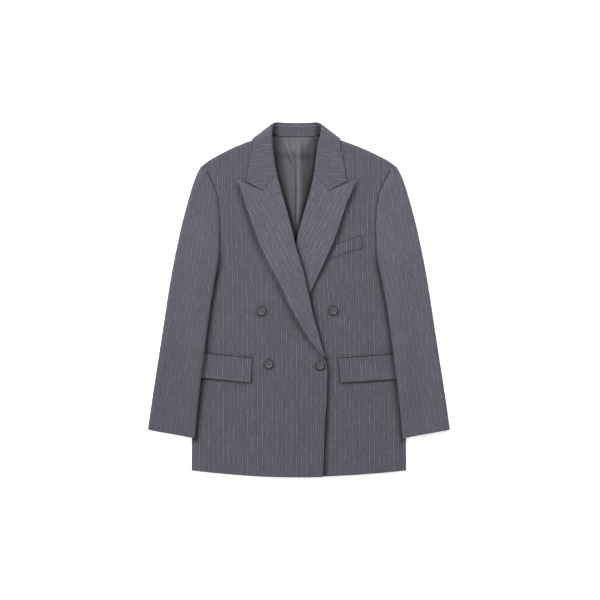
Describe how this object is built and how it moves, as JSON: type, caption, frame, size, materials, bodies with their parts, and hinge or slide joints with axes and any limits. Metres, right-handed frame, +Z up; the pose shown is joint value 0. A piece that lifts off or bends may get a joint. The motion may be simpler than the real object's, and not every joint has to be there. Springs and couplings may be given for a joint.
{
  "type": "double breasted blazer",
  "caption": "Double breasted blazer with peaked lapels, flap pockets and a breast welt, laid flat on its back and buttoned.",
  "frame": {"origin": "middle of the bounding box, on the plane the blazer lies on", "axes": "+Y runs along the blazer's length to the collar, +X is the wearer's left, +Z is up out of the front"},
  "size_m": [0.6654, 0.7818, 0.0261],
  "materials": {
    "suiting": "blue-grey mottled wool with a faint light pinstripe",
    "satin_lining": "smooth grey satin",
    "buttons": "dark blue-grey horn effect, softly polished"
  },
  "bodies": {
    "root": {"front_right": "suiting", "back_right": "suiting", "sleeve_top_right": "suiting", "sleeve_under_right": "suiting", "lapel_right": "suiting", "flap_right": "suiting", "jet_right": "suiting", "front_left": "suiting", "back_left": "suiting", "sleeve_top_left": "suiting", "sleeve_under_left": "suiting", "lapel_left": "suiting", "flap_left": "suiting", "jet_left": "suiting", "collar": "suiting", "welt_breast": "suiting", "lining_back": "satin_lining", "button_1": "buttons", "button_2": "buttons", "button_3": "buttons", "button_4": "buttons"}
  },
  "joints": []
}
